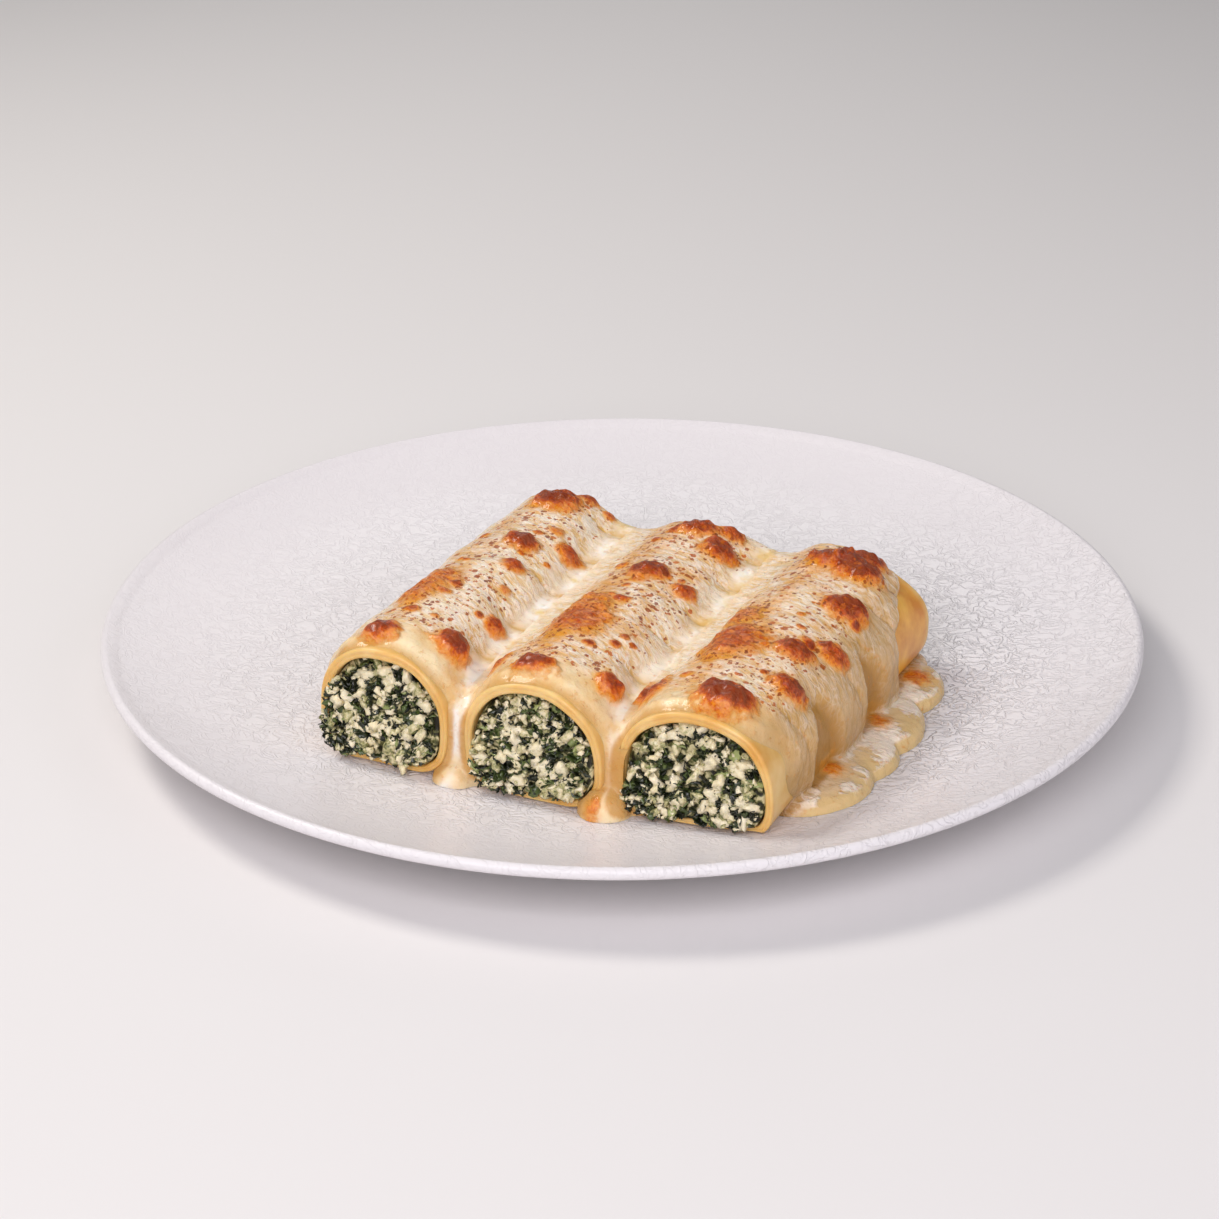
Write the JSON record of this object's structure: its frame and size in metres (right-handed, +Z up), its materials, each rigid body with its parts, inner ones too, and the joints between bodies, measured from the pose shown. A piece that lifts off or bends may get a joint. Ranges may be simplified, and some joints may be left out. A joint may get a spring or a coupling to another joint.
{
  "type": "cannelloni",
  "caption": "Baked pasta tubes filled with spinach and curd cheese, under a browned white sauce that has pooled at one side, on a round coupe plate.",
  "frame": {"origin": "centre of the plate's foot ring, on the table", "axes": "+Z up; the tubes lie along Y with the front ends at -Y; the sauce has pooled on their +X side"},
  "size_m": [0.26, 0.26, 0.0426],
  "materials": {
    "porcelain": "satin glazed porcelain",
    "pasta": "moist cooked pasta",
    "filling": "moist chopped spinach and curd cheese",
    "sauce": "glossy browned white sauce"
  },
  "bodies": {
    "root": {"plate": "porcelain", "pasta_left": "pasta", "pasta_middle": "pasta", "pasta_right": "pasta", "filling_left": "filling", "filling_middle": "filling", "filling_right": "filling", "sauce": "sauce"}
  },
  "joints": []
}
